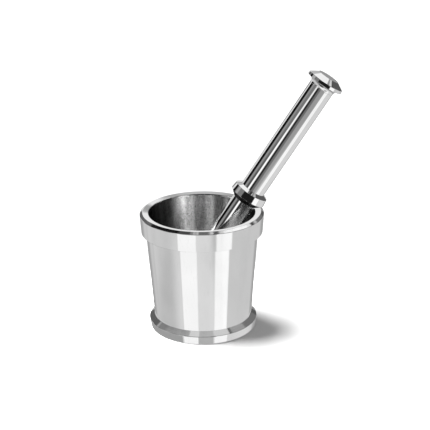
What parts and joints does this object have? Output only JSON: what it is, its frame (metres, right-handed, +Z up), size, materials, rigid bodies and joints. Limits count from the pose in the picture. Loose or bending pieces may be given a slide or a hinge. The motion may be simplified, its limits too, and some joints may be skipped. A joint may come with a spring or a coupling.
{
  "type": "pill crusher",
  "caption": "Tapered steel mortar with a collared rim and a flanged foot, and a loose round pestle that leans on the rim.",
  "frame": {"origin": "centre of the foot's underside, on the mortar's axis", "axes": "+Z up along the mortar's axis, +X the way the pestle leans, +Y away from the viewer"},
  "size_m": [0.1252, 0.078, 0.1638],
  "materials": {
    "polished_steel": "mirror polished stainless steel",
    "satin_steel": "satin stainless steel, worn by grinding",
    "plain_steel": "plain threaded steel"
  },
  "bodies": {
    "mortar": {"cup_wall": "polished_steel", "rim_collar": "polished_steel", "foot_ring": "polished_steel", "bowl_floor": "satin_steel"},
    "pestle_head": {"grinding_ball": "satin_steel"},
    "pestle_handle": {"lower_shank": "polished_steel", "guard_collar": "polished_steel", "handle_tube": "polished_steel", "tie_rod": "plain_steel", "end_cap": "polished_steel"}
  },
  "joints": [
    {"name": "pestle_lift", "type": "slide", "parent": "mortar", "child": "pestle_head", "axis": [0, 0, 1], "range_m": [0, 0.1]},
    {"name": "pestle_tilt", "type": "hinge", "parent": "pestle_head", "child": "pestle_handle", "pos_m": [-0.01445, 0.0043, 0.0168], "axis": [0, 1, 0], "range_deg": [-42.5, 0]}
  ]
}
